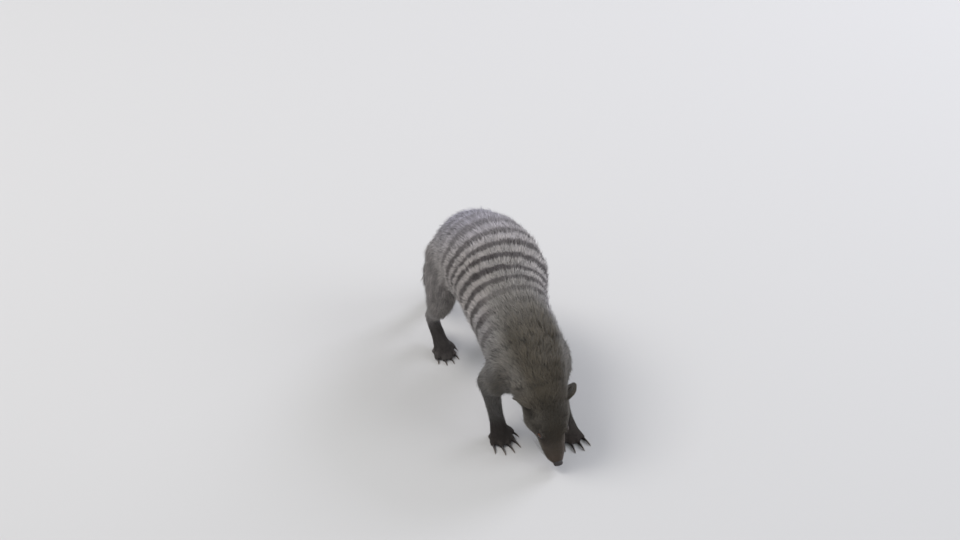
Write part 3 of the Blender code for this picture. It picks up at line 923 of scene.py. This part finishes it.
# Two shapes of lock: where each ring of corners is along it, the faces, and where the corners are
# on the unwrap. A ring has three corners, across and above the middle, and an end has one.
RING, END = ((-1, -0.35), (1, -0.35), (0, 0.55)), ((0, 0),)
SHORT_LOCK = (
    ((0, RING), (1, END)), ((0, 1, 2), (1, 0, 3), (2, 1, 3), (0, 2, 3)), (0, 0.5, 1, 0.5))
LONG_LOCK = (
    ((0, END), (0.38, RING), (1, END)),
    ((1, 2, 0), (2, 3, 0), (3, 1, 0), (2, 1, 4), (3, 2, 4), (1, 3, 4)), (0.5, 0, 0.5, 1, 0.5))


def lock_corners(chosen, rings, draw):
    """The corners of the chosen locks, lock by lock."""
    n = len(chosen)
    base, up, way = root[chosen], out[chosen], lie[chosen]
    across = np.cross(way, up)
    swing = 0.22 * waves(base, 26, 3) + 0.12 * waves(base, 9, 4) + draw.normal(0, 0.09, n)
    way = unit(way + across * swing[:, None])
    reach = length[chosen] * draw.uniform(0.75, 1.12, n) * MM
    rise = depth[chosen] * draw.uniform(0.62, 1.06, n) * MM
    rise *= 1 + 0.12 * waves(base, 14, 5)
    guard = draw.random(n) < GUARD_HAIRS
    rise[guard] *= GUARD_RISE
    reach[guard] *= GUARD_REACH
    # At the tail's end the locks run together into one pointed tuft.
    index, _, away = SPINE.nearest(base)
    left_over = (SPINE.walked[-1] - SPINE.walked[index]) / MM
    tuft = (root_kind[chosen] == "tail_tip") * (1 - ramp(left_over, 5, 30))
    way = unit(way + (SPINE.along[index] - 0.25 * unit(away) - way) * tuft[:, None])
    across = np.cross(way, up)
    end = (left_over + draw.uniform(2, 9, n)) * MM
    reach = np.where(tuft > 0, np.minimum(reach, end), reach)
    width = THICKEST * MM * np.clip(length[chosen] / 14, 0.35, 1.15) ** 0.8
    width *= draw.uniform(0.8, 1.2, n)
    curl = draw.normal(0, 0.05, n)
    table = []
    for t, ring in rings:
        height = rise * (1 - (1 - t) ** 2) - 0.3 * MM * (1 - t)
        middle = base + way * (reach * t)[:, None] + across * (curl * reach * t * t)[:, None]
        if t > 0:
            straight = middle + up * (height * (1 - 0.8 * tuft * t))[:, None]
            middle = over_hide(middle, height) * (1 - tuft[:, None]) + straight * tuft[:, None]
        else:
            middle = middle + up * height[:, None]
        table += [middle + across * (a * width)[:, None] + up * (b * width)[:, None] for a, b in ring]
    table = np.stack(table, 1)
    table[..., 2] = np.maximum(table[..., 2], LOWEST * MM)
    return table.reshape(-1, 3)


def coat_piece(name, chosen):
    """Makes the chosen locks one piece of the coat."""
    n = len(chosen)
    draw = np.random.default_rng(len(name) * 1000 + n)
    rings, faces, sides_on = SHORT_LOCK if length[chosen].mean() < SHORT else LONG_LOCK
    each = len(sides_on)
    table = lock_corners(chosen, rings, draw)
    all_faces = (np.array(faces)[None] + np.arange(n)[:, None, None] * each).reshape(-1, 3)
    mesh = bpy.data.meshes.new(name)
    mesh.from_pydata(table, [], all_faces)
    made = linked(name, mesh)
    tip, corner = np.tile([t for t, ring in rings for _ in ring], n), np.tile(sides_on, n)
    uv = np.repeat(root_uv[chosen], each, 0) + PATCH * np.stack((tip - 0.5, corner - 0.5), 1)
    mesh.uv_layers.new(name="OFBake").data.foreach_set("uv", uv[all_faces.ravel()].ravel())
    shades = np.repeat(draw.random(n), each)
    carry(made, **colour_figures(table, np.repeat(root_figures[chosen], each, 0)), tip=tip, shade=shades)
    clad(made, COAT_FINISH)
    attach(made, "root")
    "leg_coat" if "foot" in name else "body_coat"


COAT_FINISH = coat_finish("grizzled_coat", False)
root_kind = kinds_at(root)
left = root @ LEFT > np.where(
    np.isin(root_kind, ("head", "neck", "chest", "upper_arm", "forearm", "fore_paw", "ear")),
    at(0, SHOULDER_SIDE, 0).x, at(0, HIP_SIDE, 0).x)
GROUPS = {
    "head": ("head", "ear"), "neck": ("neck",), "chest": ("chest",), "loin": ("loin",),
    "rump": ("rump",), "tail": ("tail_root", "tail_middle", "tail_tip"), "thigh": ("thigh",),
    "hind_foot": ("shank", "hind_paw"), "upper_arm": ("upper_arm",),
    "fore_foot": ("forearm", "fore_paw"),
}
BOTH_SIDES, WHOLE = {"_left": left, "_right": ~left}, {"": left | ~left}
for group, kinds in GROUPS.items():
    for tag, here in (WHOLE if group == "tail" else BOTH_SIDES).items():
        coat_piece("coat_" + group + tag, np.flatnonzero(np.isin(root_kind, kinds) & here))

# ---- eyes
# Two wet round eyeballs behind the lids. The front bulges a little; under it lies an amber-brown
# iris with fine spokes and a dark rim, round a black pupil that is wider than it is tall.

PUPIL_WIDE, PUPIL_HIGH, IRIS = 1.35, 0.75, 3.2  # half sizes
EYE_BULGE, EYE_SUNK = 0.075, 0.05
AMBER, UMBER, EYE_BLACK = (0.15, 0.052, 0.014), (0.045, 0.015, 0.006), (0.003, 0.002, 0.002)


def eye_finish():
    """Clear wet gloss over iris and pupil."""
    finish = Finish("wet_eye", Roughness=0.25, Specular_IOR_Level=0.1,
                    Coat_Weight=0.9, Coat_Roughness=0.02, Coat_IOR=1.4)
    across, up, iris = finish.figure("across"), finish.figure("up"), finish.figure("iris")
    fan = finish.node("CombineXYZ", {}, {0: across * 5, 1: up * 5, 2: iris * 0.8})[0]
    spokes = finish.noise(1.6, 3, fan).between(0.35, 0.68)
    colour = finish.mix(spokes, UMBER, AMBER)
    colour = finish.mix(iris.between(0.72, 0.98), colour, EYE_BLACK)
    colour = finish.mix(1 - finish.figure("pupil").between(0.9, 1.12), colour, EYE_BLACK)
    return finish.show(Base_Color=colour)


EYE_FINISH = eye_finish()
for eye in EYES:
    eyeball = sphere(64, 48)
    eyeball.name = eyeball.data.name = eye.name.replace("eye", "eyeball")
    table = places(eyeball)
    table *= (1 + EYE_BULGE * ramp(table[:, 2:], 0.7, 1))
    turn = np.array((eye.over.cross(eye.gaze), eye.over, eye.gaze))
    set_places(eyeball, table @ turn * (eye.radius - EYE_SUNK) * MM + eye.centre)
    _, _, across, up = eye.sight(places(eyeball))
    off = np.hypot(across, up)
    pupil = np.hypot(across / PUPIL_WIDE, up / PUPIL_HIGH)
    across, up = (values / np.maximum(off, 0.01) for values in (across, up))
    carry(eyeball, across=across, up=up, iris=off / IRIS, pupil=pupil)
    clad(eyeball, EYE_FINISH)
    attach(eyeball, "root")
    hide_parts(eye.name)

# ---- nose
# The bare pad that ends the muzzle: damp, cobbled, nearly black leather with a groove down its
# middle and a comma-shaped nostril on each side.

PAD_MIDDLE = (73.7, 0, 0.4)  # in the head
PAD_RADII = (4.9, 4.1, 3.9)  # to the side, forward and up
NOSTRIL = (2.3, 0.1)  # its middle, to the side and up
LEATHER, WORN_LEATHER = (0.014, 0.011, 0.011), (0.042, 0.031, 0.029)


pad = ball(Vector(), PAD_RADII, segments=96)
pad.name = pad.data.name = "nose_pad"
side, front, up = (places(pad) / MM).T
ahead = front / PAD_RADII[1]
facing = ramp(ahead, -0.15, 0.4)
front = front - 0.8 * ramp(ahead, 0.55, 1)
aside, level = np.abs(side) - NOSTRIL[0], up - NOSTRIL[1]
hole = hump(aside, 0.85) * hump(level, 0.75)
slit = hump(aside - 1.5, 1.1) * hump(level + 0.3 + 0.3 * (aside - 1.5), 0.34)
roll = hump(aside, 1.9) * hump(level, 1.6) - hole
groove = hump(side, 0.28) * ramp(2 - up, 0, 1.5)
sunk = (2.1 * hole + 0.9 * slit - 0.4 * roll + 0.5 * groove) * facing
inward = unit(np.stack((side * 0.4, np.maximum(front, 0.5), up * 0.4), 1))
table = np.stack((side, front, up), 1) - inward * sunk[:, None]
table[:, 0] *= 1 - 0.2 * ramp(-table[:, 2], 0, PAD_RADII[2])
set_places(pad, table @ np.array((LEFT, HEAD_AXIS, HEAD_TOP)) * MM + in_head(*PAD_MIDDLE))
turn_faces_out(pad)


def nose_finish():
    """Damp leather in small cobbles."""
    finish = Finish("nose_leather", Coat_Roughness=0.18)
    edge = finish.share("TexVoronoi", {"feature": "DISTANCE_TO_EDGE"}, {
        "Vector": finish.own_space(), "Scale": 2100})
    relief = finish.bump(0.5, 0.2, edge.between(0, 0.25))
    colour = finish.mix(finish.noise(500, 3), LEATHER, WORN_LEATHER)
    return finish.show(Base_Color=colour, Roughness=0.36 + 0.2 * finish.noise(900),
                       Coat_Weight=0.15 + 0.2 * edge, Normal=relief)


clad(pad, nose_finish())
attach(pad, "root")
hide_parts("nose")

# ---- claws
# Five on each foot, long, strong and blunt in front for digging, shorter behind. Each is a curved
# blade of dark horn, deeper than it is wide, that goes paler towards its worn tip.

DARK_HORN, PALE_HORN = (0.028, 0.021, 0.018), (0.16, 0.125, 0.095)
INNER_CLAW = 0.7  # the short inner claw's length, as a share of the others'


def claw(root, heading, length, radius):
    """One claw from the end of a toe; lengths in millimetres."""
    made = sphere(14, 18)
    x, y, z = places(made).T
    t = (z + 1) / 2
    round_off = np.hypot(x, y)
    spread = np.where(round_off > 0, np.minimum(round_off * 1.9, 1) / np.maximum(round_off, 1e-9), 0)
    thick = radius * (1 - 0.74 * t ** 1.3)
    aside = x * spread * thick * 0.8
    above = y * spread * thick * np.where(y < 0, 0.85, 1.2)
    forward = -2.2 + (length + 2.2) * t
    arch = 0.4 - 1.5 * ((forward / length - 0.35) / 0.65) ** 2
    sideways = heading.cross(UP).normalized()
    table = np.outer(forward, heading) + np.outer(aside, sideways) + np.outer(above + arch, UP)
    set_places(made, table * MM + root, 0.08)
    carry(made, tip=t)
    return made


def horn_finish():
    """Dark horn, scratched and paler towards the tip."""
    finish = Finish("dark_horn")
    tip, grain = finish.figure("tip"), finish.noise(700, 3)
    worn = (tip + (grain - 0.5) * 0.3).between(0.45, 1.05)
    colour = finish.mix(worn, DARK_HORN, PALE_HORN)
    relief = finish.bump(0.3, 0.2, finish.noise(1800, 3))
    return finish.show(Base_Color=colour, Roughness=0.3 + 0.3 * grain, Normal=relief)


HORN = horn_finish()
for foot in FEET:
    blades = []
    for root_place, heading, length in foot.digits():
        toe_end = root_place + heading * (length + foot.toe * 0.55) * MM - UP * 0.9 * MM
        share = INNER_CLAW if length == TOE_REACH / 2 else 1
        blades.append(claw(toe_end, heading, foot.claw * share, foot.claw_depth))
    blades = join(blades, foot.name.replace("paw", "claws"))
    turn_faces_out(blades)
    clad(blades, HORN)
    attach(blades, "root")

# ---- whiskers
# Stiff dark hairs in four rows on each side of the muzzle, and a few over each eye and on the
# cheek. They sweep back and outwards, the hindmost the longest.

WHISKER = 0.13  # half its thickness at the root, in millimetres
BRISTLE, PALE_BRISTLE = (0.016, 0.012, 0.01), (0.05, 0.04, 0.034)
# Over the eye and on the cheek: the place along the head and above its middle, and the length.
STRAY_WHISKERS = ((44, 9.5, 13), (41, 10.6, 16), (38, 11, 12), (33, -8, 17), (31, -10.5, 14))


def whisker(along, above, side, length, outward, lift):
    """One tapered curved hair from the skin, swept back along the head."""
    start = in_head(along, side * 30, above)
    found, skin_normal, _, _ = hide_tree.ray_cast(start, -LEFT * side)
    way = (LEFT * side * outward - HEAD_AXIS + HEAD_TOP * lift).normalized()
    bend = (LEFT * side * -0.25 - HEAD_TOP * 0.2) * length * MM
    bpy.ops.mesh.primitive_cone_add(vertices=4, radius1=WHISKER * MM, radius2=0, depth=1)
    made = bpy.context.object
    in_edit_mode(made, bpy.ops.mesh.subdivide, number_cuts=5)
    table = places(made)
    t = table[:, 2] + 0.5
    beside = way.cross(UP).normalized()
    over = beside.cross(way)
    table = (np.array(found - skin_normal * 0.5 * MM) + np.outer(table[:, 0], beside)
             + np.outer(table[:, 1], over) + np.outer(t * length * MM, way) + np.outer(t * t, bend))
    set_places(made, table, 0.3)
    return made


whiskers = []
for side in (-1, 1):
    for row in range(4):
        for column in range(4 if row in (1, 2) else 3):
            whiskers.append(whisker(
                68.5 - 3 * column - 0.8 * row, -0.6 - 2 * row, side, 13 + 4.2 * column + row,
                0.95 - 0.12 * column, 0.1 - 0.16 * row))
    for along, above, long in STRAY_WHISKERS:
        whiskers.append(whisker(along, above, side, long, 0.85, 0.55 if above > 0 else -0.1))
whiskers = join(whiskers, "whiskers")
turn_faces_out(whiskers)
bristle = Finish("bristle", Roughness=0.4)
clad(whiskers, bristle.show(Base_Color=bristle.mix(bristle.noise(120), BRISTLE, PALE_BRISTLE)))
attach(whiskers, "root")

# ---- floor, light and camera
# A plain pale floor under soft studio light, and the camera.

bpy.ops.mesh.primitive_plane_add(size=14)
floor = bpy.context.object
floor.name = "floor"
pale = Finish("pale_floor", Base_Color=(0.62, 0.61, 0.6, 1), Roughness=0.9)
floor.data.materials.append(pale.material)

world = bpy.data.worlds.new("studio")
world.use_nodes = True
sky = world.node_tree.nodes["Background"].inputs
sky["Color"].default_value = (0.92, 0.95, 1, 1)
sky["Strength"].default_value = 0.55
bpy.context.scene.world = world

AZIMUTH, ELEVATION, DISTANCE = radians(-22), radians(36), 4.6
WIDTH_SEEN = 0.979  # at the animal
SENSOR = 36
AIM_ACROSS, AIM_DOWN = 10.2, 20.4  # from the hips to the middle of the picture
toward = Vector((sin(AZIMUTH) * cos(ELEVATION), -cos(AZIMUTH) * cos(ELEVATION), sin(ELEVATION)))
across = Vector((cos(AZIMUTH), sin(AZIMUTH), 0))
upward = toward.cross(across)
aim = at(0, 0, 110) + (across * AIM_ACROSS - upward * AIM_DOWN) * MM


def soft_light(name, place, size, power, colour):
    """A large area light that faces the animal."""
    lamp = bpy.data.lights.new(name, "AREA")
    lamp.size, lamp.energy, lamp.color = size, power, colour
    made = linked(name, lamp)
    made.location = place
    made.rotation_euler = (Vector(place) - aim).to_track_quat("Z", "Y").to_euler()


soft_light("key", (-1.2, 0.9, 2.2), 1.4, 34, (1, 0.98, 0.95))
soft_light("fill", (1.8, -1.4, 1.6), 1.8, 17, (0.93, 0.96, 1))
soft_light("rim", (1.9, 0.9, 1.3), 1, 24, (0.86, 0.88, 1))

camera = linked("camera", bpy.data.cameras.new("camera"))
camera.data.sensor_width = SENSOR
camera.data.lens = SENSOR * DISTANCE / WIDTH_SEEN
camera.location = aim + toward * DISTANCE
camera.rotation_euler = toward.to_track_quat("Z", "Y").to_euler()
bpy.context.scene.camera = camera
bpy.context.scene.view_settings.view_transform = "Standard"
